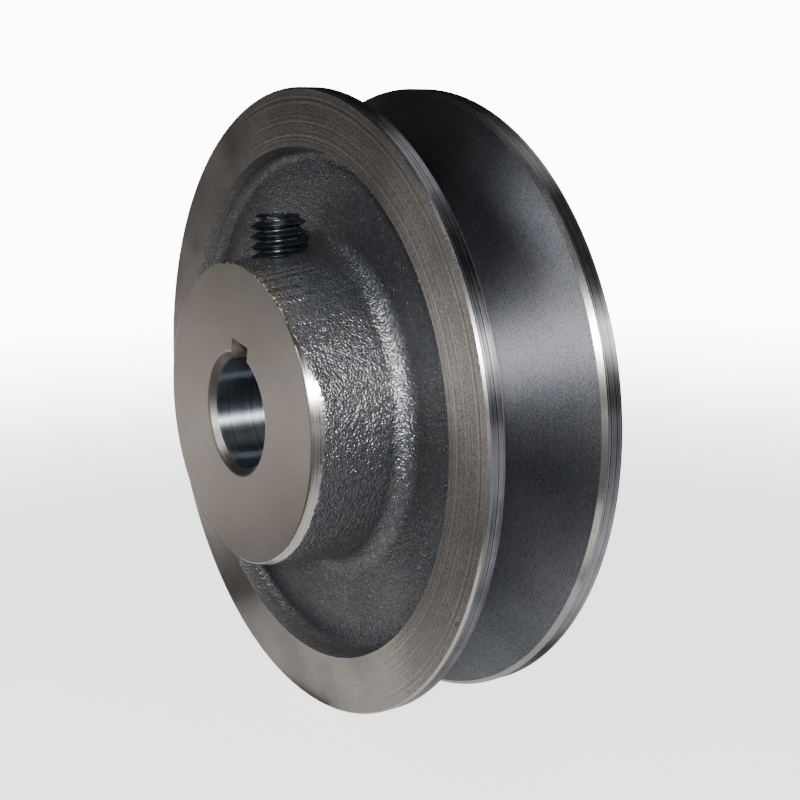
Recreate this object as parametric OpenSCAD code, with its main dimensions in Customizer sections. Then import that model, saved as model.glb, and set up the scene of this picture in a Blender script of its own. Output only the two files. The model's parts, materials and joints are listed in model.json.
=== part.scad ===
// Fixed-bore V-belt pulley: one machined grey iron casting, and the socket set
// screw that locks it to its shaft.
// Frame: the pulley's axis lies along Y and its hub faces -Y. The set screw points
// up, along +Z. The origin is on the bore's axis, in the middle of the belt groove.

/* [Rim] */
// Outer diameter over the two flanges
outer_d = 90.17; // [80:0.01:100]
// Distance from the groove's middle to the rim's front face
rim_front = 10.5; // [10:0.05:13]
// Distance from the groove's middle to the rim's rear face
rim_rear = 10.8; // [10:0.05:13]
// Radial width of the turned ring on each side of the rim
ring_w = 8.1; // [6:0.05:10]
// Chamfer on the rim's front outer corner
front_chamfer = 0.3; // [0.2:0.01:1]
// Chamfer on the rim's rear outer corner
rear_chamfer = 0.25; // [0.1:0.01:1]

/* [Belt groove] */
// Width of the groove's walls where they would meet the outer diameter
groove_w = 15.54; // [13:0.01:16]
// Angle between the groove's walls
groove_angle = 34; // [30:1:38]
// Depth of the groove below the outer diameter
groove_depth = 17; // [12:0.1:18]
// Chamfer where each groove wall meets the outer diameter
groove_chamfer = 0.6; // [0.2:0.05:0.8]
// Radius in the corners of the groove's floor
groove_floor_r = 0.8; // [0.4:0.1:1.5]

/* [Web] */
// Depth of the cast web below the rim's face, on each side
web_depth = 3; // [1.5:0.1:4]
// Radius of the fillet where the web meets the ring
web_fillet = 1.5; // [0.4:0.1:2]

/* [Hub] */
// Length of the bore, from the hub's front face to its rear face
bore_length = 31.75; // [30:0.05:36]
// Diameter of the hub's front face
hub_face_d = 42.7; // [40:0.1:43]
// Diameter of the cast hub behind its turned band
hub_band_d = 43.8; // [43:0.1:44.4]
// Length of the turned band behind the hub's front face
hub_band_w = 1.8; // [1:0.1:3]
// Diameter of the cast hub where its fillet starts
hub_root_d = 44.6; // [44.5:0.1:46]
// Radius of the fillet between the hub and the web
hub_fillet = 3; // [2:0.1:5]
// Diameter of the hub's rear face
hub_rear_d = 46; // [44:0.1:50]

/* [Bore and keyway] */
// Diameter of the bore
bore_d = 15.875; // [12:0.005:16]
// Chamfer at each end of the bore
bore_chamfer = 0.9; // [0.3:0.05:1.2]
// Width of the keyway
keyway_w = 4.7625; // [3:0.0005:5]
// Height of the keyway's floor above the bore's axis
keyway_top = 10.5; // [9.5:0.01:11]
// Angle from the set screw round to the keyway, towards +X
keyway_angle = 12; // [0:1:30]

/* [Set screw] */
// Major diameter of the screw's thread
screw_d = 7.938; // [6:0.001:8]
// Pitch of the screw's thread
screw_pitch = 1.4111; // [1.2:0.0001:1.5]
// Length of the screw
screw_length = 12.7; // [11:0.05:14]
// Whole turns that the screw is backed off from a shaft in the bore, as stored
screw_turns_out = 5; // [4:1:6]
// Distance from the hub's front face back to the screw's axis
screw_setback = 7.84; // [6:0.01:9]
// How far the chamfer at each end goes below the thread's root
screw_end_drop = 0.25; // [0.1:0.05:0.5]
// Size of the hexagon socket across its flats
socket_af = 3.97; // [3:0.01:4.2]
// Depth of the hexagon socket
socket_depth = 4.6; // [3:0.1:5]
// Diameter of the cup point's rim
cup_d = 4.4; // [3.5:0.1:5]
// Angle between the walls of the cup
cup_angle = 118; // [90:1:120]
// Gap between the screw's crests and its hole, all round
screw_gap = 0.05; // [0.02:0.01:0.1]

/* [Hidden] */

$fn = 96;
outer_r = outer_d / 2;
ring_r = outer_r - ring_w;
groove_slope = tan(groove_angle / 2);
groove_floor_z = groove_w / 2 - groove_depth * groove_slope;
groove_floor_outer_r = outer_r - groove_depth;
hub_front = bore_length - rim_rear;
bore_r = bore_d / 2;
past = 1;

// A Unified thread is 0.6134 of its pitch deep. Its crest flat is an eighth of a
// pitch and its root flat a quarter, and the two flanks take up the rest.
thread_depth = 0.6134 * screw_pitch;
screw_r = screw_d / 2;
screw_root_r = screw_r - thread_depth;
screw_end_r = screw_root_r - screw_end_drop;
crest_flat = screw_pitch / 8;
root_flat = screw_pitch / 4;
flank = (screw_pitch - crest_flat - root_flat) / 2;
screw_tip = bore_r + screw_turns_out * screw_pitch;
screw_z = hub_front - screw_setback;

// Turns a shape made about Z to the pulley's own axis, so that its front faces -Y.
module on_axle() {
    rotate([90, 0, 0]) children();
}

// ---- pulley_body ----

// Fills the corner at the origin between a floor along +X and a wall along +Y.
module corner_fill(radius) {
    difference() {
        square(radius);
        translate([radius, radius]) circle(radius);
    }
}

module rim_section() {
    polygon([
        [0, -rim_rear],
        [outer_r - rear_chamfer, -rim_rear],
        [outer_r, -rim_rear + rear_chamfer],
        [outer_r, rim_front - front_chamfer],
        [outer_r - front_chamfer, rim_front],
        [0, rim_front]
    ]);
}

module hub_section() {
    polygon([
        [0, 0],
        [hub_root_d / 2, 0],
        [hub_root_d / 2, rim_front - web_depth + hub_fillet],
        [hub_band_d / 2, hub_front - hub_band_w],
        [hub_face_d / 2, hub_front],
        [0, hub_front]
    ]);
}

// The web lies below the rim's face from the inner radius out to the ring.
module web_recess(inner_r) {
    difference() {
        translate([inner_r, -web_depth]) square([ring_r - inner_r, web_depth + past]);
        translate([ring_r, -web_depth]) mirror([1, 0]) corner_fill(web_fillet);
    }
}

module groove_section() {
    half_w = groove_w / 2 + past * groove_slope;
    chamfer_z = groove_w / 2 - groove_chamfer * groove_slope;
    difference() {
        polygon([
            [outer_r + past, -half_w],
            [groove_floor_outer_r, -groove_floor_z],
            [groove_floor_outer_r, groove_floor_z],
            [outer_r + past, half_w]
        ]);
        for (side = [0, 1])
            mirror([0, side])
                translate([groove_floor_outer_r, groove_floor_z])
                    mirror([0, 1]) corner_fill(groove_floor_r);
    }
    for (side = [0, 1])
        mirror([0, side])
            polygon([
                [outer_r - groove_chamfer, chamfer_z],
                [outer_r + past, chamfer_z + groove_chamfer + past],
                [outer_r + past, 0],
                [outer_r - groove_chamfer, 0]
            ]);
}

module casting_section() {
    difference() {
        union() {
            difference() {
                rim_section();
                translate([0, rim_front]) web_recess(hub_root_d / 2);
                translate([0, -rim_rear]) mirror([0, 1]) web_recess(hub_rear_d / 2);
                groove_section();
            }
            hub_section();
            translate([hub_root_d / 2, rim_front - web_depth]) corner_fill(hub_fillet);
        }
        translate([-past, -bore_length]) square([past, 2 * bore_length]);
    }
}

module bore_cut() {
    wide_r = bore_r + bore_chamfer + past;
    translate([0, 0, -rim_rear - past]) cylinder(r = bore_r, h = bore_length + 2 * past);
    translate([0, 0, hub_front - bore_chamfer])
        cylinder(r1 = bore_r, r2 = wide_r, h = bore_chamfer + past);
    translate([0, 0, -rim_rear - past])
        cylinder(r1 = wide_r, r2 = bore_r, h = bore_chamfer + past);
}

module keyway_cut() {
    rotate([0, 0, -keyway_angle])
        translate([-keyway_w / 2, 0, -rim_rear - past])
            cube([keyway_w, keyway_top, bore_length + 2 * past]);
}

module screw_hole_cut() {
    translate([0, 0, screw_z])
        rotate([-90, 0, 0])
            cylinder(r = screw_r + screw_gap, h = hub_root_d / 2 + hub_fillet + past);
}

module pulley_body() {
    color("dimgray")
        on_axle()
            difference() {
                rotate_extrude() casting_section();
                bore_cut();
                keyway_cut();
                screw_hole_cut();
            }
}

// ---- set_screw ----

// Half of the screw's section before its ends are chamfered. The thread is drawn as
// rings, one to a pitch.
module thread_section() {
    ridges = ceil(screw_length / screw_pitch);
    ridge_points = [
        for (i = [0:ridges - 1])
            let (z = i * screw_pitch)
                each [
                    [screw_root_r, z + root_flat],
                    [screw_r, z + root_flat + flank],
                    [screw_r, z + root_flat + flank + crest_flat],
                    [screw_root_r, z + screw_pitch]
                ]
    ];
    top = ridges * screw_pitch;
    polygon(concat([[0, 0], [screw_root_r, 0]], ridge_points, [[0, top]]));
}

// Half of the screw's outline, with both ends chamfered to 45 degrees.
module screw_outline() {
    chamfer = screw_r - screw_end_r;
    polygon([
        [0, 0],
        [screw_end_r, 0],
        [screw_r, chamfer],
        [screw_r, screw_length - chamfer],
        [screw_end_r, screw_length],
        [0, screw_length]
    ]);
}

module set_screw() {
    cup_slope = tan(cup_angle / 2);
    cup_depth = cup_d / 2 / cup_slope;
    color("darkslategray")
        translate([0, -screw_z, screw_tip])
            difference() {
                rotate_extrude()
                    intersection() {
                        thread_section();
                        screw_outline();
                    }
                translate([0, 0, screw_length - socket_depth])
                    cylinder(d = socket_af / cos(30), h = socket_depth + past, $fn = 6);
                translate([0, 0, -past])
                    cylinder(r1 = cup_d / 2 + past * cup_slope, r2 = 0, h = cup_depth + past);
            }
}

pulley_body();
set_screw();
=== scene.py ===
import json
import math

import bmesh
import bpy
import numpy as np
from mathutils import Euler, Matrix, Vector, noise


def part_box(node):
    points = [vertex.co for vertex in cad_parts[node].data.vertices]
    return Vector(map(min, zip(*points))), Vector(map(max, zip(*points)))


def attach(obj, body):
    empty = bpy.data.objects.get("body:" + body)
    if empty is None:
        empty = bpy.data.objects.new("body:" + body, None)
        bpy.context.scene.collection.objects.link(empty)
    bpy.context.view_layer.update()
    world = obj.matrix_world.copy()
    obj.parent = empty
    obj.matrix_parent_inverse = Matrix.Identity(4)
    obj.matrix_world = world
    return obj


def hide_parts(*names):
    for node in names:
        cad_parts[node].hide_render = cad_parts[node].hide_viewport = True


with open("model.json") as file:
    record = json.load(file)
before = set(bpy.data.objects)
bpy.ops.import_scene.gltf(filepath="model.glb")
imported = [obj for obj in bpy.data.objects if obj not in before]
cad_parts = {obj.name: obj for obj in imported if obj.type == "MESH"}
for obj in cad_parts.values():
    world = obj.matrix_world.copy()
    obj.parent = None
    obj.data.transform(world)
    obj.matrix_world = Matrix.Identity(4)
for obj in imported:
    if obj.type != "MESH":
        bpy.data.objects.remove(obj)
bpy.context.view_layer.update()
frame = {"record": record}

MM = 0.001

# ---------------------------------------------------------------- sizes
# The pulley's axis lies along Y, its hub faces -Y, and the set screw points up +Z.
# All lengths are in metres. A name in _r is a radius, and a name in _w is a width.

body_low, body_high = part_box("pulley_body")
screw_low, screw_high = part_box("set_screw")
mounts = {m["name"]: m for m in frame["record"]["mounts"]}

hub_front = body_low.y
rim_rear = body_high.y
bore_r = mounts["bore"]["dims"]["r_mm"] * MM
outer_r = 45.085 * MM
ring_r = outer_r - 8.1 * MM
rim_front = -10.5 * MM
front_chamfer = 0.3 * MM
rear_chamfer = 0.25 * MM
web_depth = 3.0 * MM
web_front = rim_front + web_depth
web_rear = rim_rear - web_depth
recess_wall_r = ring_r - 0.45 * MM
recess_corner = 1.5 * MM

groove_half_w = 7.77 * MM
groove_slope = math.tan(math.radians(17))
groove_floor_r = outer_r - 17.0 * MM
groove_chamfer = 0.6 * MM
groove_corner = 0.8 * MM

hub_face_r = 21.35 * MM
hub_edge_w = 0.12 * MM
hub_edge_drop = 0.08 * MM
hub_band_r = 21.9 * MM
hub_band_w = 1.8 * MM
hub_root_r = 22.3 * MM
hub_fillet = 3.0 * MM
hub_rear_r = 23 * MM
bore_chamfer = 0.9 * MM

keyway_w = 4.7625 * MM
keyway_top = 10.5 * MM
keyway_angle = math.radians(12)
keyway_corner = 0.25 * MM

screw_r = 3.969 * MM
screw_pitch = 1.4111 * MM
thread_depth = 0.6134 * screw_pitch
screw_y = (screw_low.y + screw_high.y) / 2
socket_af = 3.97 * MM
socket_depth = 4.6 * MM
socket_point = 0.9 * MM
socket_mouth_r = 1.85 * MM
socket_mouth_drop = 0.45 * MM
cup_r = 2.2 * MM
cup_slope = math.tan(math.radians(59))
thread_gap = 0.05 * MM
thread_end_w = 0.25 * MM
tapped_low = 4.5 * MM
tapped_high = hub_root_r + 6 * MM

# The casting's skin is cut into this many steps round its axis.
AROUND = 576

# Every surface of the casting, in the order of its material slots.
SURFACES = [
    "turned_face", "turned_ring", "turned_land", "turned_groove", "bright_edge",
    "cast_skin", "reamed_bore", "broached_keyway", "tapped_iron",
]


# ---------------------------------------------------------------- mesh helpers

def new_object(name, mesh):
    made = bpy.data.objects.new(name, mesh)
    bpy.context.scene.collection.objects.link(made)
    return made


def mesh_from(name, points, faces):
    mesh = bpy.data.meshes.new(name)
    mesh.from_pydata(points, [], faces)
    mesh.update()
    return mesh


def face_outwards(mesh):
    edit = bmesh.new()
    edit.from_mesh(mesh)
    bmesh.ops.recalc_face_normals(edit, faces=edit.faces)
    edit.to_mesh(mesh)
    edit.free()


def cut(target, cutter):
    """Takes the cutter's solid away from the target, and then removes the cutter."""
    knife = target.modifiers.new("cut", "BOOLEAN")
    knife.operation = "DIFFERENCE"
    knife.solver = "MANIFOLD"
    knife.object = cutter
    evaluated = target.evaluated_get(bpy.context.evaluated_depsgraph_get())
    mesh = bpy.data.meshes.new_from_object(evaluated)
    target.modifiers.clear()
    old = target.data
    target.data = mesh
    mesh.name = old.name
    bpy.data.meshes.remove(old)
    bpy.data.objects.remove(cutter)


# Where a surface turns by more than these angles, its edge is hard.
CASTING_EDGE = math.radians(50)
SCREW_EDGE = math.radians(38)
RIDGE_ANGLE = math.radians(5.7)


def shade(target, angle, ridged=None):
    """Smooth shading with hard edges where two materials meet or where the surface turns by
    more than the angle, and at every ridge of the material whose slot is ridged."""
    edit = bmesh.new()
    edit.from_mesh(target.data)
    for face in edit.faces:
        face.smooth = True
    for edge in edit.edges:
        slots = [face.material_index for face in edge.link_faces]
        limit = RIDGE_ANGLE if ridged in slots else angle
        edge.smooth = (
            len(slots) == 2 and slots[0] == slots[1] and edge.calc_face_angle(0) < limit)
    edit.to_mesh(target.data)
    edit.free()


def dress(target, materials):
    """Fills the target's material slots; a cut leaves an empty one behind."""
    faces = target.data.polygons
    slots = np.zeros(len(faces), np.int32)
    faces.foreach_get("material_index", slots)
    target.data.materials.clear()
    for material in materials:
        target.data.materials.append(material)
    faces.foreach_set("material_index", slots)


# ---------------------------------------------------------------- the casting

class Outline:
    """The casting's section as points (radius, y), each step with its surface's name."""

    def __init__(self, r, y):
        self.points = [(r, y)]
        self.surfaces = []

    def line(self, r, y, surface, step):
        r0, y0 = self.points[-1]
        count = max(1, round(math.hypot(r - r0, y - y0) / step))
        for i in range(1, count + 1):
            t = i / count
            self.points.append((r0 + (r - r0) * t, y0 + (y - y0) * t))
            self.surfaces.append(surface)

    def arc(self, centre_r, centre_y, radius, start, end, surface, step):
        sweep = math.radians(end - start)
        count = max(2, round(abs(sweep) * radius / step))
        for i in range(1, count + 1):
            a = math.radians(start) + sweep * i / count
            self.points.append((centre_r + radius * math.cos(a), centre_y + radius * math.sin(a)))
            self.surfaces.append(surface)


def casting_outline():
    """Round the section from the front of the bore, out over the hub and rim, and back.
    Each kind of surface has its own step, short enough for what that surface shows."""
    plain, edge, cast, land, bore = 1.0 * MM, 0.3 * MM, 0.24 * MM, 0.11 * MM, 2 * MM
    front_face, rear_face, front_ring, rear_ring = 0.4 * MM, 0.5 * MM, 0.24 * MM, 0.2 * MM
    chamfer_y = groove_half_w - groove_chamfer * groove_slope
    floor_y = groove_half_w - (outer_r - groove_floor_r) * groove_slope
    front_corner, rear_corner = web_front - recess_corner, web_rear + recess_corner
    corner_r = recess_wall_r - recess_corner
    rear_root_r = hub_rear_r + recess_corner

    o = Outline(bore_r, hub_front + bore_chamfer)
    o.line(bore_r + bore_chamfer, hub_front, "turned_face", edge)
    o.line(hub_face_r - hub_edge_w, hub_front, "turned_face", front_face)
    o.line(hub_face_r, hub_front + hub_edge_drop, "bright_edge", plain)
    o.line(hub_band_r, hub_front + hub_band_w, "bright_edge", edge)
    o.line(hub_root_r, web_front - hub_fillet, "cast_skin", cast)
    o.arc(hub_root_r + hub_fillet, web_front - hub_fillet, hub_fillet, 180, 90, "cast_skin", cast)
    o.line(corner_r, web_front, "cast_skin", cast)
    o.arc(corner_r, front_corner, recess_corner, 90, 0, "cast_skin", cast)
    o.line(ring_r, rim_front, "cast_skin", cast)
    o.line(outer_r - front_chamfer, rim_front, "turned_ring", front_ring)
    o.line(outer_r, rim_front + front_chamfer, "bright_edge", edge)
    o.line(outer_r, -chamfer_y - groove_chamfer, "turned_land", land)
    o.line(outer_r - groove_chamfer, -chamfer_y, "bright_edge", edge)
    o.line(groove_floor_r + groove_corner, -floor_y - groove_corner * groove_slope,
           "turned_groove", plain)
    o.line(groove_floor_r, -floor_y + groove_corner, "turned_groove", edge)
    o.line(groove_floor_r, floor_y - groove_corner, "turned_groove", plain)
    o.line(groove_floor_r + groove_corner, floor_y + groove_corner * groove_slope,
           "turned_groove", edge)
    o.line(outer_r - groove_chamfer, chamfer_y, "turned_groove", plain)
    o.line(outer_r, chamfer_y + groove_chamfer, "bright_edge", edge)
    o.line(outer_r, rim_rear - rear_chamfer, "turned_land", land)
    o.line(outer_r - rear_chamfer, rim_rear, "bright_edge", edge)
    o.line(ring_r, rim_rear, "turned_ring", rear_ring)
    o.line(recess_wall_r, rear_corner, "cast_skin", cast)
    o.arc(corner_r, rear_corner, recess_corner, 0, -90, "cast_skin", cast)
    o.line(rear_root_r, web_rear, "cast_skin", edge)
    o.arc(rear_root_r, rear_corner, recess_corner, 270, 180, "cast_skin", cast)
    o.line(hub_rear_r, rim_rear, "cast_skin", cast)
    o.line(bore_r + bore_chamfer, rim_rear, "turned_face", rear_face)
    o.line(bore_r, rim_rear - bore_chamfer, "bright_edge", edge)
    o.line(bore_r, hub_front + bore_chamfer, "reamed_bore", bore)
    o.points.pop()
    return o


def between(value, stops):
    """Smoothly joins stops of (place, height), and holds the first and last heights."""
    if value <= stops[0][0]:
        return stops[0][1]
    for (start, low), (end, high) in zip(stops, stops[1:]):
        if value < end:
            t = (value - start) / (end - start)
            return low + (high - low) * t * t * (3 - 2 * t)
    return stops[-1][1]


# The casting's hub stands a little off the bore's axis, so the tool that squared its end
# turned a wide bright band on one side of it and left a raw edge on the other. These are
# stops of (angle in degrees, the band's width in mm) and (angle, how raw the edge is).
HUB_BAND = [(-180, 0.45), (-90, 0.9), (-40, 1.15), (-12, 1.3), (12, 1.8), (27, 0.8), (42, 0.3),
            (60, 0.06), (150, 0.06), (180, 0.45)]
HUB_RAW = [(30, 0.0), (52, 1.0), (105, 1.0), (150, 0.0)]
HUB_LEAN = 1.5 * MM
HUB_LEAN_ANGLE = math.radians(5)
HUB_LEAN_FULL_R, HUB_LEAN_NONE_R = hub_root_r + hub_fillet, hub_root_r + 2.4 * hub_fillet
BAND_LEAN_SHARE = 0.3

# How deep the raw edge is bitten, how close together the bites are, and how much of the
# edge they take. The outline's points beyond this radius belong to that edge.
BITE_DEPTH = 0.35 * MM
BITE_SCALE = 17
BITE_COVER = 0.3
HUB_EDGE_START_R = hub_face_r - 0.2 * MM

# How many times the cast skin's own height its edge at the bright band wavers, and its
# other edges.
BAND_WAVER = 3
CORNER_WAVER = 2


def in_degrees(angle):
    """An angle round the axis in degrees, from -180 to 180."""
    return (math.degrees(angle) + 180) % 360 - 180


def hub_lean(angle, r):
    """How far the cast hub's surface is off centre at an angle; none out on the web."""
    share = between(r, [(HUB_LEAN_FULL_R, 1.0), (HUB_LEAN_NONE_R, 0.0)])
    return HUB_LEAN * share * math.cos(angle - HUB_LEAN_ANGLE)


def hub_edge(angle):
    """The bright band round the hub's end at an angle: its width, its radius where it meets
    the cast skin, and how far the raw edge is bitten away."""
    width = between(in_degrees(angle), HUB_BAND) * MM
    edge_r = hub_face_r + (hub_band_r - hub_face_r) * width / hub_band_w
    edge_r += BAND_LEAN_SHARE * hub_lean(angle, 0) * (width / hub_band_w)
    tear = noise.fractal(Vector((math.cos(angle), 0, math.sin(angle))) * BITE_SCALE, 0.6, 2.2, 3)
    bite = between(in_degrees(angle), HUB_RAW) * BITE_DEPTH * max(0, tear + BITE_COVER)
    return width, edge_r, bite


# The casting stays this far inside the outer radius, because the CAD body's rim is faceted.
SIZE_ROOM = 0.015 * MM

# How deep the lathe's feed lines are, the least share of that which a line has, and the share
# that the ring shows at each angle in degrees.
FEED_DEPTH = {"turned_land": 0.030 * MM, "turned_ring": 0.016 * MM}
FEED_LEAST = 0.6
RING_FINISH = [(-75, 0.15), (-30, 0.9), (85, 1.1), (120, 0.15)]

# Marks knocked into the casting: (angle, radius, y, half width, depth), in degrees and mm.
# A negative depth is a lump that stands proud.
MARKS = [
    (11, 22.6, -17.5, 0.42, 0.20), (9.5, 22.6, -17.1, 0.30, 0.14), (3, 22.6, -16.0, 0.42, 0.24),
    (-2, 22.6, -17.1, 0.36, 0.18), (8, 23.6, -10.1, 0.60, -0.16), (36, 22.6, -18.3, 0.40, 0.16),
    (-30, 44.2, -10.5, 0.40, 0.18), (-52, 44.1, -10.5, 0.45, 0.20), (24, 44.3, -10.5, 0.25, 0.10),
    (-96, 44.2, -10.5, 0.30, 0.12), (151, 44.2, -10.5, 0.30, 0.12), (-48, 21.0, -20.95, 0.25, 0.10),
]


def marked(p):
    """How far the marks near a point push it along its normal, in metres. Each has a bowl
    and, round it, a low lip of the iron that was pushed out."""
    push = 0.0
    for angle, r, y, half, depth in MARKS:
        a = math.radians(angle)
        gap = math.dist(p, (r * MM * math.cos(a), y * MM, r * MM * math.sin(a)))
        if gap < 2 * half * MM:
            t = gap / (half * MM)
            bowl = math.exp(-t * t * 1.5)
            lip = 0.35 * math.exp(-(t - 1.35) ** 2 * 8)
            push -= depth * MM * (bowl - lip)
    return push


# The cast skin's lumps and its finer grain: how close together they are, how high they
# are on the web, and how much higher they are on the hub.
LUMP_SCALE, LUMP_HEIGHT, LUMP_HUB_GAIN = 420, 0.012 * MM, 0.030 * MM
GRIT_SCALE, GRIT_HEIGHT, GRIT_HUB_GAIN = 2300, 0.012 * MM, 0.036 * MM


def skin_height(p, r):
    """How far the cast skin stands off its plain surface at a point, in metres."""
    lumps = noise.fractal(p * LUMP_SCALE, 0.9, 2.1, 2)
    grit = noise.fractal(p * GRIT_SCALE, 0.7, 2.1, 2)
    hub = 1 - min(1, max(0, (r - hub_root_r) / (2 * hub_fillet)))
    return (LUMP_HEIGHT + LUMP_HUB_GAIN * hub) * lumps + (GRIT_HEIGHT + GRIT_HUB_GAIN * hub) * grit


def casting_mesh():
    """The outline swept round the axis, with the hub's lean and raw edge, the cast skin's
    lumps, the lathe's feed lines and the marks."""
    outline = casting_outline()
    points = np.array(outline.points)
    surfaces = outline.surfaces
    count = len(points)
    tangent = np.roll(points, -1, 0) - np.roll(points, 1, 0)
    tangent /= np.linalg.norm(tangent, axis=1)[:, None]
    normal = np.stack([tangent[:, 1], -tangent[:, 0]], 1)
    before = [surfaces[i - 1] for i in range(count)]
    is_cast = [surfaces[i] == "cast_skin" or before[i] == "cast_skin" for i in range(count)]
    inside_cast = [surfaces[i] == "cast_skin" and before[i] == "cast_skin" for i in range(count)]
    is_lathe_cut = [surfaces[i] in FEED_DEPTH and before[i] == surfaces[i] for i in range(count)]
    rng = np.random.default_rng(7)
    feed = -(np.arange(count) % 2) * rng.uniform(FEED_LEAST, 1, count)

    band_end = surfaces.index("cast_skin")
    side_end = web_front - hub_fillet
    fillet_start = next(i for i in range(band_end, count) if points[i, 1] > side_end)
    web_reached = next(i for i in range(fillet_start, count) if points[i, 1] >= web_front)
    verts = []
    for j in range(AROUND):
        a = 2 * math.pi * j / AROUND
        finish = {"turned_land": 1, "turned_ring": between(in_degrees(a), RING_FINISH)}
        width, edge_r, bite = hub_edge(a)
        side_r = edge_r - bite
        for i, (r, y) in enumerate(points):
            ri, yi = r, y
            if i < band_end and r > HUB_EDGE_START_R:
                t = (y - hub_front) / hub_band_w
                if t > 0:
                    ri = hub_face_r + (edge_r - hub_face_r) * t
                    yi = hub_front + width * t
                ri -= bite
            elif band_end <= i < fillet_start:
                t = (y - hub_front - hub_band_w) / (side_end - hub_front - hub_band_w)
                ri = side_r + (hub_root_r + hub_lean(a, hub_root_r) - side_r) * t
                yi = hub_front + width + (side_end - hub_front - width) * t
            elif fillet_start <= i < web_reached:
                ri += hub_lean(a, r)
            p = Vector((ri * math.cos(a), yi, ri * math.sin(a)))
            push = marked(p)
            if is_cast[i]:
                h = skin_height(p, ri)
                if inside_cast[i]:
                    push += h
                elif i == band_end:
                    yi += BAND_WAVER * h
                else:
                    ri += CORNER_WAVER * h
            elif is_lathe_cut[i]:
                push += feed[i] * FEED_DEPTH[surfaces[i]] * finish[surfaces[i]]
            ri = min(ri + normal[i, 0] * push, outer_r - SIZE_ROOM)
            yi = max(yi + normal[i, 1] * push, hub_front)
            verts.append((ri * math.cos(a), yi, ri * math.sin(a)))

    faces, slots = [], []
    for j in range(AROUND):
        n = (j + 1) % AROUND
        for i in range(count):
            k = (i + 1) % count
            faces.append((j * count + i, j * count + k, n * count + k, n * count + i))
            slots.append(SURFACES.index(surfaces[i]))
    mesh = mesh_from("pulley_casting", verts, faces)
    mesh.polygons.foreach_set("material_index", slots)
    return mesh


def keyway_cutter():
    """A bar along the bore with its two upper corners rounded."""
    half, corner, steps = keyway_w / 2, keyway_corner, 4
    section = [(-half, 0), (half, 0)]
    for centre, start in ((half - corner, 0), (corner - half, 90)):
        for i in range(steps + 1):
            a = math.radians(start + 90 * i / steps)
            section.append((centre + corner * math.cos(a), keyway_top - corner + corner * math.sin(a)))
    n = len(section)
    ends = (hub_front - 2 * MM, rim_rear + 2 * MM)
    verts = [(x, y, z) for y in ends for x, z in section]
    faces = [(i, (i + 1) % n, n + (i + 1) % n, n + i) for i in range(n)]
    faces += [tuple(reversed(range(n))), tuple(range(n, 2 * n))]
    mesh = mesh_from("keyway", verts, faces)
    mesh.transform(Matrix.Rotation(keyway_angle, 4, "Y"))
    return finish_cutter(mesh, "broached_keyway")


def finish_cutter(mesh, surface):
    """A cutter that leaves the named surface on what it cuts."""
    mesh.polygons.foreach_set("material_index", [SURFACES.index(surface)] * len(mesh.polygons))
    face_outwards(mesh)
    return new_object(mesh.name, mesh)


# ---------------------------------------------------------------- the thread

# One turn of the thread as (share of the pitch, share of the thread's depth), with the
# root's two corners and the crest's two edges eased.
THREAD_TURN = [
    (0.00, 0.07), (0.06, 0.0), (0.19, 0.0), (0.25, 0.07),
    (0.545, 0.93), (0.585, 1.0), (0.665, 1.0), (0.705, 0.93),
]
THREAD_COLUMNS = 96

# The thread's start turns it round the screw. Its helix runs on past each end by the
# lead-in, laid flat in the end's face and drawn in towards the axis, which it would reach
# after SPIRAL_TURNS. All three are in turns.
THREAD_START = 0.42
LEAD_IN = 1.25 + THREAD_START
SPIRAL_TURNS = 4


def thread_mesh(name, low, high, grow):
    """A right-hand threaded rod about Z between two heights, its ends chamfered. Its
    helix is in step with the set screw's, and grow makes it larger all round."""
    marks = len(THREAD_TURN)
    root_r = screw_r - thread_depth + grow
    end_r = root_r - thread_end_w
    first = math.floor((low - screw_low.z) / screw_pitch - LEAD_IN)
    turns = math.ceil((high - low) / screw_pitch + 2 * LEAD_IN + 1)
    last = marks * turns

    def point(row, column):
        mark, depth = THREAD_TURN[row % marks]
        turn = first + row // marks + mark + column / THREAD_COLUMNS + THREAD_START
        z = screw_low.z + turn * screw_pitch
        over = max(low - z, z - high)
        if over > 0:
            r = end_r * (1 - over / (SPIRAL_TURNS * screw_pitch))
        else:
            r = min(root_r + depth * thread_depth, end_r + min(z - low, high - z))
        a = 2 * math.pi * column / THREAD_COLUMNS
        return (r * math.cos(a), r * math.sin(a), min(max(z, low), high))

    def index(row, column):
        if column < THREAD_COLUMNS:
            return row * THREAD_COLUMNS + column
        return (row + marks) * THREAD_COLUMNS

    verts = [point(row, c) for row in range(last + 1) for c in range(THREAD_COLUMNS)]
    faces = [
        (index(row, c), index(row, c + 1), index(row + 1, c + 1), index(row + 1, c))
        for row in range(last) for c in range(THREAD_COLUMNS)
        if c < THREAD_COLUMNS - 1 or row < last - marks
    ]
    bottom = [index(0, c) for c in range(THREAD_COLUMNS)]
    bottom += [index(row, 0) for row in range(marks, 0, -1)]
    top = [index(last, c) for c in range(THREAD_COLUMNS - 1, -1, -1)]
    top += [index(row, THREAD_COLUMNS - 1) for row in range(last - marks, last)]
    faces += [tuple(reversed(bottom)), tuple(reversed(top))]
    return mesh_from(name, verts, faces)


def screw_hole_cutter():
    mesh = thread_mesh("screw_hole", tapped_low, tapped_high, thread_gap)
    mesh.transform(Matrix.Translation((0, screw_y, 0)))
    return finish_cutter(mesh, "tapped_iron")


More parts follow.
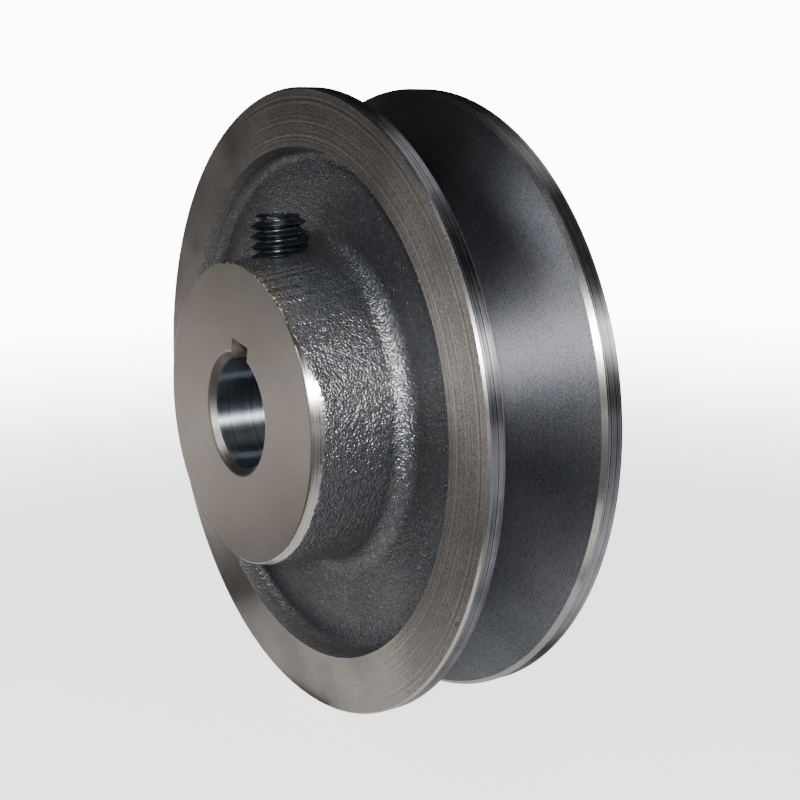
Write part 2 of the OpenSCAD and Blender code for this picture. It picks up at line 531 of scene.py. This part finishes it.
def lathe_cutter(name, section, sides):
    """A cutter turned about Z from points (radius, z) that start and end on the axis."""
    verts = [(0, 0, section[0][1])]
    for r, z in section[1:-1]:
        for k in range(sides):
            a = 2 * math.pi * k / sides
            verts.append((r * math.cos(a), r * math.sin(a), z))
    verts.append((0, 0, section[-1][1]))
    rings = len(section) - 2
    faces = []
    for k in range(sides):
        n = (k + 1) % sides
        faces.append((0, 1 + n, 1 + k))
        for ring in range(rings - 1):
            a, b = 1 + ring * sides, 1 + (ring + 1) * sides
            faces.append((a + k, a + n, b + n, b + k))
        a = 1 + (rings - 1) * sides
        faces.append((a + k, a + n, len(verts) - 1))
    mesh = mesh_from(name, verts, faces)
    mesh.transform(Matrix.Translation((0, screw_y, 0)))
    face_outwards(mesh)
    return new_object(name, mesh)


# How many sides a round cutter has, and how far a cutter stands out past the screw.
ROUND = 96
CLEAR = MM
MOUTH_CLEAR = 0.15 * MM


def make_screw():
    """The set screw: a threaded rod with a hexagon socket, its chamfered mouth, and a cup."""
    low, high = screw_low.z, screw_high.z
    mesh = thread_mesh("socket_set_screw", low, high, 0)
    mesh.transform(Matrix.Translation((0, screw_y, 0)))
    screw = new_object("socket_set_screw", mesh)
    corner_r = socket_af / 2 / math.cos(math.radians(30))
    floor = high - socket_depth
    cut(screw, lathe_cutter("socket", [
        (0, floor - socket_point), (corner_r, floor), (corner_r, high + CLEAR),
        (0, high + CLEAR)], 6))
    mouth_low, mouth_high = high - socket_mouth_drop, high + MOUTH_CLEAR
    cut(screw, lathe_cutter("socket_chamfer", [
        (0, mouth_low), (socket_mouth_r, mouth_low),
        (socket_mouth_r + mouth_high - mouth_low, mouth_high), (0, mouth_high)], ROUND))
    cut(screw, lathe_cutter("cup", [
        (0, low - CLEAR), (cup_r + CLEAR * cup_slope, low - CLEAR),
        (0, low + cup_r / cup_slope)], ROUND))
    shade(screw, SCREW_EDGE)
    return screw


def make_casting():
    casting = new_object("pulley_casting", casting_mesh())
    cut(casting, keyway_cutter())
    cut(casting, screw_hole_cutter())
    shade(casting, CASTING_EDGE, SURFACES.index("turned_land"))
    return casting


# ---------------------------------------------------------------- materials

class Paint:
    """A material's nodes, in object coordinates, with a short way to add and join them."""

    def __init__(self, name):
        self.material = bpy.data.materials.new(name)
        self.material.use_nodes = True
        self.tree = self.material.node_tree
        self.shader = self.tree.nodes["Principled BSDF"]
        self.place = self.tree.nodes.new("ShaderNodeTexCoord").outputs["Object"]

    def put(self, socket, value):
        if isinstance(value, bpy.types.NodeSocket):
            self.tree.links.new(value, socket)
        else:
            socket.default_value = value

    def node(self, kind, inputs=(), **settings):
        made = self.tree.nodes.new(kind)
        for key, value in settings.items():
            setattr(made, key, value)
        for key, value in dict(inputs).items():
            self.put(made.inputs[key], value)
        return made

    def set(self, **values):
        for key, value in values.items():
            self.put(self.shader.inputs[key.replace("_", " ")], value)

    def math(self, operation, a, b=0.0):
        return self.node("ShaderNodeMath", {0: a, 1: b}, operation=operation).outputs[0]

    def noise(self, scale, detail=3.0, roughness=0.55, stretch=None):
        place = self.place
        if stretch:
            place = self.node("ShaderNodeMapping", {"Vector": place, "Scale": stretch}).outputs[0]
        made = self.node("ShaderNodeTexNoise", {
            "Vector": place, "Scale": scale, "Detail": detail, "Roughness": roughness})
        return made.outputs["Fac"]

    def ramp(self, value, *stops):
        """Blends from colour to colour; each stop is (position, colour or grey)."""
        made = self.node("ShaderNodeValToRGB", {"Fac": value})
        bar = made.color_ramp.elements
        while len(bar) < len(stops):
            bar.new(0.5)
        for element, (position, colour) in zip(bar, stops):
            element.position = position
            grey = not hasattr(colour, "__len__")
            element.color = (colour, colour, colour, 1) if grey else (*colour, 1)
        return made.outputs["Color"]

    def scale(self, value, low, high):
        """A value from 0 to 1 mapped to the range from low to high, or high to low."""
        made = self.node("ShaderNodeMapRange", {"Value": value, "To Min": low, "To Max": high})
        return made.outputs["Result"]

    def mix(self, share, a, b):
        made = self.node("ShaderNodeMix", data_type="RGBA")
        self.put(made.inputs[0], share)
        self.put(made.inputs[6], a if not isinstance(a, tuple) else (*a, 1))
        self.put(made.inputs[7], b if not isinstance(b, tuple) else (*b, 1))
        return made.outputs[2]

    def bump(self, height, distance):
        inputs = {"Height": height, "Distance": distance, "Strength": 1.0}
        return self.node("ShaderNodeBump", inputs).outputs["Normal"]

    def part(self, axis):
        return self.node("ShaderNodeSeparateXYZ", {"Vector": self.place}).outputs[axis]

    def radius(self):
        """Distance from the pulley's axis."""
        flat = self.node("ShaderNodeCombineXYZ", {"X": self.part("X"), "Y": self.part("Z")})
        length = self.node("ShaderNodeVectorMath", {0: flat.outputs[0]}, operation="LENGTH")
        return length.outputs["Value"]

    def along(self):
        """Distance along the pulley's axis."""
        return self.part("Y")

    def turn_from(self, angle):
        """Angle round the pulley's axis, from 0 at the given one to pi opposite it."""
        turn = self.math("ARCTAN2", self.part("Z"), self.part("X"))
        gap = self.math("ABSOLUTE", self.math("SUBTRACT", turn, angle))
        return self.math("MINIMUM", gap, self.math("SUBTRACT", 2 * math.pi, gap))

    def rough_and_shaded_share(self):
        """1 on the rough side of a turned face, and a low share on its smooth side; painted shade
        darkens the face by this share.
        """
        made = self.node("ShaderNodeMapRange", {
            "Value": self.turn_from(ROUGH_SIDE_ANGLE),
            "From Min": ROUGH_SIDE_HALF + ROUGH_SIDE_BLEND,
            "From Max": ROUGH_SIDE_HALF - ROUGH_SIDE_BLEND,
            "To Min": ROUGH_SIDE_LEAST}, interpolation_type="SMOOTHSTEP")
        return made.outputs[0]

    def tool_lines(self, distance, pitch, detail=2.0):
        """Uneven lines round the axis, one every pitch of the given distance."""
        made = self.node("ShaderNodeTexNoise", {
            "W": distance, "Scale": 1 / pitch, "Detail": detail, "Roughness": 0.7},
            noise_dimensions="1D")
        return made.outputs["Fac"]


# Rust on the hub's raw front edge: its middle and half its spread round the axis, in
# radians, and how far back from the hub's end it is full and reaches.
RUST_ANGLE = 1.25
RUST_HALF_ANGLE = 0.75
RUST_FULL = 0.4 * MM
RUST_REACH = 3.2 * MM

# The torn grain's frequency, and its height beside the tool lines'.
GRAIN_SCALE = 7000
GRAIN_HEIGHT = 0.8

# How much rougher the rough side of a turned face is, and how much painted shade darkens it.
# That side faces up and to +X: its middle, half its spread and half the blend at its ends are
# angles in radians. The smooth side shows the least share of the rough side's lines.
ROUGH_SIDE_GAIN = 0.06
ROUGH_SIDE_SHADE = 0.10
ROUGH_SIDE_ANGLE = 0.45
ROUGH_SIDE_HALF = 1.35
ROUGH_SIDE_BLEND = 0.25
ROUGH_SIDE_LEAST = 0.1

# Open pores: how much of their colour covers the iron, and how deep they are beside the
# tool lines.
PORE_COLOUR = (0.05, 0.05, 0.055)
PORE_COVER = 0.45
PORE_DEPTH = 0.35

# How far the tool lines and the stains change the roughness.
LINE_ROUGHNESS = 0.12
STAIN_ROUGHNESS = 0.04

# A quarter turn, so that a highlight spreads across the tool lines and not along them.
ACROSS_LINES = 0.25


def turned(name, along_axis, dark, light, roughness, pitch, depth, anisotropic,
           grain=0.0, rough_and_shaded_side=False, line_tone=1.0):
    """Turned iron: tool lines round the axis, faint stains, open graphite pores, and a
    sparkling grain where the tool tore the iron. With a rough side, the lines and the grain
    are strong on that side only, and painted shade darkens that side. The lines step along
    the axis or out from it."""
    p = Paint(name)
    distance = p.along() if along_axis else p.radius()
    lines = p.tool_lines(distance, pitch)
    stain = p.noise(60, 4.0, 0.6)
    torn = p.noise(GRAIN_SCALE, 1.0, 0.5)
    pores = p.ramp(p.noise(2600, 2.0, 0.7), (0.28, 0.0), (0.36, 1.0))
    streak = p.math("SUBTRACT", lines, 0.5)
    speck = p.math("MULTIPLY", p.math("SUBTRACT", torn, 0.5), 2.0 * grain)
    if rough_and_shaded_side:
        share = p.rough_and_shaded_share()
        streak = p.math("MULTIPLY", streak, share)
        speck = p.math("MULTIPLY", speck, share)
    tone = p.math("ADD", p.math("ADD", p.math("MULTIPLY", streak, line_tone), speck), stain)
    if rough_and_shaded_side:
        # Painted shade: the rough side's colour is darkened.
        tone = p.math("SUBTRACT", tone, p.math("MULTIPLY", share, ROUGH_SIDE_SHADE))
    colour = p.ramp(tone, (0.32, dark), (0.68, light))
    p.set(Base_Color=p.mix(p.scale(pores, PORE_COVER, 0.0), colour, PORE_COLOUR))
    p.set(Metallic=1.0, Anisotropic=anisotropic, Anisotropic_Rotation=ACROSS_LINES)
    stained = p.scale(stain, roughness - STAIN_ROUGHNESS, roughness + STAIN_ROUGHNESS)
    rough = p.math("ADD", p.math("MULTIPLY", streak, LINE_ROUGHNESS), stained)
    if rough_and_shaded_side:
        rough = p.math("ADD", rough, p.math("MULTIPLY", share, ROUGH_SIDE_GAIN))
    p.set(Roughness=rough)
    height = p.math("ADD", p.math("MULTIPLY", pores, PORE_DEPTH), streak)
    height = p.math("ADD", height, p.math("MULTIPLY", speck, GRAIN_HEIGHT))
    p.set(Normal=p.bump(height, depth))
    p.set(Tangent=p.node("ShaderNodeTangent", direction_type="RADIAL", axis="Y").outputs[0])
    return p.material


# The cast skin's colours, from its hollows up to its rubbed peaks, and its painted glints.
SKIN_DARK, SKIN_GREY, SKIN_PALE = (0.065, 0.073, 0.086), (0.135, 0.141, 0.153), (0.26, 0.26, 0.26)
PAINTED_GLINT = (0.5, 0.49, 0.48)
RUST_DARK, RUST_LIGHT = (0.05, 0.032, 0.022), (0.30, 0.21, 0.14)
WALL_DARK, WALL_LIGHT = (0.17, 0.16, 0.152), (0.27, 0.258, 0.246)

# The radii at which the painted shade in the recess's corner starts and is full, and how
# dark it gets; then those of the paler, less metallic wall beside the ring.
CORNER_SHADE_START_R, CORNER_SHADE_FULL_R = ring_r - 2.4 * MM, ring_r - 1.1 * MM
CORNER_SHADE = 0.30
WALL_START_R, WALL_FULL_R = ring_r - 0.8 * MM, ring_r - 0.4 * MM


def skin_rust(p):
    """Where the cast skin is rusty: its raw front edge, and a few stains elsewhere."""
    upper = p.ramp(p.turn_from(RUST_ANGLE), (RUST_HALF_ANGLE * 0.5, 1.0), (RUST_HALF_ANGLE, 0.0))
    front = p.node("ShaderNodeMapRange", {
        "Value": p.along(), "From Min": hub_front + RUST_REACH, "From Max": hub_front + RUST_FULL})
    patch = p.ramp(p.noise(900, 4.0, 0.7), (0.42, 0.0), (0.62, 1.0))
    edge = p.math("MULTIPLY", p.math("MULTIPLY", upper, front.outputs[0]), patch)
    stain = p.ramp(p.noise(45, 5.0, 0.65), (0.56, 0.0), (0.74, 0.45))
    return p.math("MAXIMUM", edge, p.math("MULTIPLY", stain, patch))


def cast_skin():
    """The casting's blasted skin: dark blue-grey grain with painted glints, rusty brown where
    the hub's edge was left raw, painted shade in the recess's corner, and a paler, less
    metallic finish on its wall."""
    p = Paint("cast_skin")
    grain = p.noise(3300, 1.5, 0.5)
    coarse = p.noise(1200, 3.0, 0.6)
    cloud = p.noise(70, 4.0, 0.6)
    # Painted glints: pale specks in the skin's colour, where the skin is also smoother.
    painted_glints = p.ramp(p.noise(3000, 1.0, 0.5), (0.66, 0.0), (0.74, 1.0))
    # Painted shade: the skin is darkened towards the recess's corner.
    corner = p.ramp(p.radius(), (CORNER_SHADE_START_R, 0.0), (CORNER_SHADE_FULL_R, CORNER_SHADE))
    wall = p.ramp(p.radius(), (WALL_START_R, 0.0), (WALL_FULL_R, 1.0))

    tone = p.math("ADD", p.math("MULTIPLY", coarse, 0.5), p.math("MULTIPLY", cloud, 0.5))
    # The painted shade darkens the tone towards the recess's corner.
    tone = p.math("SUBTRACT", tone, corner)
    colour = p.ramp(tone, (0.30, SKIN_DARK), (0.55, SKIN_GREY), (0.75, SKIN_PALE))
    # Painted glints: a pale colour is mixed in at the specks.
    colour = p.mix(p.math("MULTIPLY", painted_glints, 0.5), colour, PAINTED_GLINT)
    colour = p.mix(skin_rust(p), colour, p.ramp(grain, (0.35, RUST_DARK), (0.65, RUST_LIGHT)))
    colour = p.mix(wall, colour, p.ramp(coarse, (0.3, WALL_DARK), (0.7, WALL_LIGHT)))
    p.set(Base_Color=colour, Metallic=p.scale(wall, 0.9, 0.35))
    rough = p.scale(coarse, 0.37, 0.24)
    p.set(Roughness=p.math("SUBTRACT", rough, p.math("MULTIPLY", painted_glints, 0.1)))
    height = p.math("ADD", grain, p.math("MULTIPLY", coarse, 0.7))
    p.set(Normal=p.bump(height, 0.20 * MM))
    return p.material


def keyway_metal():
    """Broached walls: fine scratches along the bore, light brown with old oil."""
    p = Paint("broached_keyway")
    scratch = p.noise(1500, 2.0, 0.6, stretch=(1, 0.04, 1))
    stain = p.noise(350, 3.0, 0.6)
    p.set(Base_Color=p.ramp(stain, (0.35, (0.10, 0.085, 0.07)), (0.65, (0.36, 0.30, 0.24))))
    p.set(Metallic=0.85, Roughness=p.scale(scratch, 0.32, 0.5))
    p.set(Normal=p.bump(scratch, 0.03 * MM))
    return p.material


def tapped_metal():
    """The tapped hole's thread: dull dark iron, worn paler in patches."""
    p = Paint("tapped_iron")
    wear = p.noise(900, 3.0, 0.6)
    p.set(Base_Color=p.ramp(wear, (0.35, (0.04, 0.04, 0.042)), (0.7, (0.16, 0.15, 0.14))))
    p.set(Metallic=0.8, Roughness=p.scale(wear, 0.35, 0.55))
    p.set(Normal=p.bump(wear, 0.02 * MM))
    return p.material


def black_oxide():
    """Blackened steel, rubbed a little brighter in patches and faintly oily."""
    p = Paint("black_oxide_steel")
    rub = p.noise(700, 4.0, 0.6)
    fine = p.noise(4200, 2.0, 0.6)
    p.set(Base_Color=p.ramp(rub, (0.35, (0.020, 0.024, 0.030)), (0.62, (0.045, 0.052, 0.062)),
                            (0.8, (0.11, 0.12, 0.13))))
    p.set(Metallic=0.9, Roughness=p.scale(rub, 0.22, 0.38))
    p.set(Normal=p.bump(p.math("ADD", rub, p.math("MULTIPLY", fine, 0.3)), 0.02 * MM))
    return p.material


# Each turned surface's dark and light iron.
FACE_IRON = (0.295, 0.268, 0.247), (0.36, 0.330, 0.306)
RING_IRON = (0.22, 0.204, 0.19), (0.42, 0.39, 0.365)
LAND_IRON = (0.040, 0.044, 0.053), (0.40, 0.41, 0.435)
GROOVE_IRON = (0.14, 0.15, 0.17), (0.27, 0.28, 0.305)
EDGE_IRON = (0.40, 0.39, 0.38), (0.62, 0.60, 0.58)
BORE_IRON = (0.17, 0.195, 0.23), (0.28, 0.305, 0.34)


def casting_materials():
    """The casting's materials, in the order of SURFACES. The second value of each turned
    one says whether its tool lines step along the axis."""
    return [
        turned("turned_face", False, *FACE_IRON, roughness=0.40, pitch=0.35 * MM,
               depth=0.0006 * MM, anisotropic=0.5, line_tone=0.3),
        turned("turned_ring", False, *RING_IRON, roughness=0.36, pitch=0.48 * MM,
               depth=0.035 * MM, anisotropic=0.7, grain=0.7, rough_and_shaded_side=True),
        turned("turned_land", True, *LAND_IRON, roughness=0.34, pitch=0.20 * MM,
               depth=0.003 * MM, anisotropic=0.98, line_tone=1.6),
        turned("turned_groove", False, *GROOVE_IRON, roughness=0.42, pitch=0.20 * MM,
               depth=0.014 * MM, anisotropic=0.8, grain=1.0, line_tone=0.4),
        turned("bright_edge", False, *EDGE_IRON, roughness=0.24, pitch=0.15 * MM,
               depth=0.006 * MM, anisotropic=0.7, grain=0.3),
        cast_skin(),
        turned("reamed_bore", True, *BORE_IRON, roughness=0.40, pitch=0.4 * MM,
               depth=0.0004 * MM, anisotropic=0.985),
        keyway_metal(),
        tapped_metal(),
    ]


# ---------------------------------------------------------------- light, floor and camera

# The white backdrop's strength. The floor fades into it between two distances from the
# part, from a least share of it.
BACKDROP = 12.0
FLOOR_SIZE = 3.0
FLOOR_DROP = 0.02 * MM
FADE_START, FADE_END = 0.10, 0.55
FADE_LEAST = 0.16

# What the metal has round it: a dim floor, and a dim room that is darker higher up.
FLOOR_BOUNCE = (0.12, 0.12, 0.125)
ROOM = [(0.0, (0.05, 0.05, 0.055)), (0.30, (0.02, 0.02, 0.024))]

WHITE = (1.0, 1.0, 1.0)
WARM_WHITE = (1.0, 0.98, 0.96)
WARM = (1.0, 0.955, 0.912)
COOL = (0.96, 0.98, 1.0)
COOL_PANEL = (0.97, 0.98, 1.0)
FAINT_COOL = (0.98, 0.99, 1.0)

# The camera stands to the right of the hub's end and a little above the axis.
CAMERA_SPOT = (163.6 * MM, -101.0 * MM, 34.0 * MM)
CAMERA_AZIMUTH, CAMERA_ELEVATION, CAMERA_ROLL = (math.radians(x) for x in (56.6, 10.2, -1.16))
CAMERA_LENS, CAMERA_SENSOR = 58.6, 36.0


def camera_only(tree, everyone, camera):
    """A shader that the camera sees as one thing and all other rays as another."""
    seen = tree.nodes.new("ShaderNodeLightPath")
    mix = tree.nodes.new("ShaderNodeMixShader")
    tree.links.new(seen.outputs["Is Camera Ray"], mix.inputs[0])
    tree.links.new(everyone, mix.inputs[1])
    tree.links.new(camera, mix.inputs[2])
    return mix.outputs[0]


def make_floor():
    """A pale floor, which fades to the white of the backdrop for the camera alone."""
    mesh = mesh_from("floor", [
        (-FLOOR_SIZE, -FLOOR_SIZE, 0), (FLOOR_SIZE, -FLOOR_SIZE, 0),
        (FLOOR_SIZE, FLOOR_SIZE, 0), (-FLOOR_SIZE, FLOOR_SIZE, 0)], [(0, 1, 2, 3)])
    floor = new_object("floor", mesh)
    floor.location.z = -outer_r - FLOOR_DROP
    p = Paint("pale_floor")
    p.set(Base_Color=p.ramp(p.noise(3), (0.3, (0.84, 0.84, 0.84)), (0.7, (0.87, 0.87, 0.87))))
    p.set(Roughness=0.8)
    far = p.node("ShaderNodeVectorMath", {0: p.place}, operation="LENGTH").outputs["Value"]
    fade = p.node("ShaderNodeMapRange", {
        "Value": far, "From Min": FADE_START, "From Max": FADE_END, "To Min": FADE_LEAST},
        interpolation_type="SMOOTHSTEP")
    white = p.node("ShaderNodeEmission", {"Strength": BACKDROP})
    seen = p.node("ShaderNodeMixShader", {
        0: fade.outputs[0], 1: p.shader.outputs[0], 2: white.outputs[0]})
    dull = p.node("ShaderNodeBsdfDiffuse", {"Color": (*FLOOR_BOUNCE, 1)})
    shown = camera_only(p.tree, dull.outputs[0], seen.outputs[0])
    p.tree.links.new(shown, p.tree.nodes["Material Output"].inputs[0])
    floor.data.materials.append(p.material)


def make_world():
    """White to the camera; to the metal, a dim room that is darker higher up."""
    world = bpy.data.worlds.new("studio")
    bpy.context.scene.world = world
    world.use_nodes = True
    tree = world.node_tree
    room = tree.nodes["Background"]
    place = tree.nodes.new("ShaderNodeTexCoord")
    split = tree.nodes.new("ShaderNodeSeparateXYZ")
    tree.links.new(place.outputs["Generated"], split.inputs[0])
    ramp = tree.nodes.new("ShaderNodeValToRGB")
    tree.links.new(split.outputs["Z"], ramp.inputs["Fac"])
    for element, (position, colour) in zip(ramp.color_ramp.elements, ROOM):
        element.position = position
        element.color = (*colour, 1)
    tree.links.new(ramp.outputs["Color"], room.inputs["Color"])
    white = tree.nodes.new("ShaderNodeBackground")
    white.inputs["Color"].default_value = (1, 1, 1, 1)
    white.inputs["Strength"].default_value = BACKDROP
    output = tree.nodes["World Output"].inputs["Surface"]
    tree.links.new(camera_only(tree, room.outputs[0], white.outputs[0]), output)


def new_light(name, shape, watts, colour):
    data = bpy.data.lights.new(name, "AREA")
    data.shape = shape
    data.energy = watts
    data.color = colour
    return data


def round_light(name, spot, size, watts, colour):
    """A round soft light that points at the middle of the part."""
    data = new_light(name, "DISK", watts, colour)
    data.size = size
    made = new_object(name, data)
    made.location = spot
    made.rotation_euler = (-Vector(spot)).to_track_quat("-Z", "Y").to_euler()


def floor_panel(name, low, high, radiance, colour):
    """A glowing panel that lies on the floor between two corners and faces up."""
    width, depth = high[0] - low[0], high[1] - low[1]
    data = new_light(name, "RECTANGLE", math.pi * width * depth * radiance, colour)
    data.size, data.size_y = width, depth
    made = new_object(name, data)
    made.location = ((low[0] + high[0]) / 2, (low[1] + high[1]) / 2, -outer_r - FLOOR_DROP / 2)
    made.rotation_euler = (math.pi, 0, 0)
    made.visible_camera = False


def make_lights():
    """Places are in metres: (x, y, z) for a round light, and (x, y) corners for a panel."""
    round_light("key", (0.61, -0.45, 0.25), 0.09, 14.5, WARM_WHITE)
    round_light("overhead", (0.0, 0.1, 1.2), 0.8, 2.5, WHITE)
    round_light("front", (0.0, -0.7, 0.4), 0.3, 1.4, WHITE)
    round_light("back", (-0.42, 0.85, 0.02), 0.14, 1.0, COOL)
    floor_panel("near_panel", (-0.045, -0.04), (0.09, -0.012), 0.86, WARM)
    floor_panel("under_panel", (0.004, -0.012), (0.05, 0.014), 0.55, WHITE)
    floor_panel("left_panel", (-0.60, -0.25), (-0.09, -0.04), 1.09, WARM)
    floor_panel("right_panel", (0.03, 0.014), (0.25, 0.06), 1.05, COOL_PANEL)
    floor_panel("rear_panel", (0.08, 0.10), (0.60, 0.45), 0.5, FAINT_COOL)


def make_camera():
    data = bpy.data.cameras.new("camera")
    data.lens = CAMERA_LENS
    data.sensor_width = CAMERA_SENSOR
    data.clip_start, data.clip_end = 0.01, 10.0
    camera = new_object("camera", data)
    camera.location = CAMERA_SPOT
    turn = Euler((math.pi / 2 - CAMERA_ELEVATION, 0, CAMERA_AZIMUTH), "XYZ").to_matrix()
    camera.rotation_euler = (turn @ Matrix.Rotation(CAMERA_ROLL, 3, "Z")).to_euler()
    bpy.context.scene.camera = camera


# ---------------------------------------------------------------- the scene

make_camera()
make_floor()
make_world()
make_lights()

casting = make_casting()
dress(casting, casting_materials())
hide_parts("pulley_body")
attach(casting, "pulley")

screw = make_screw()
dress(screw, [black_oxide()])
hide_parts("set_screw")
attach(screw, "set_screw")
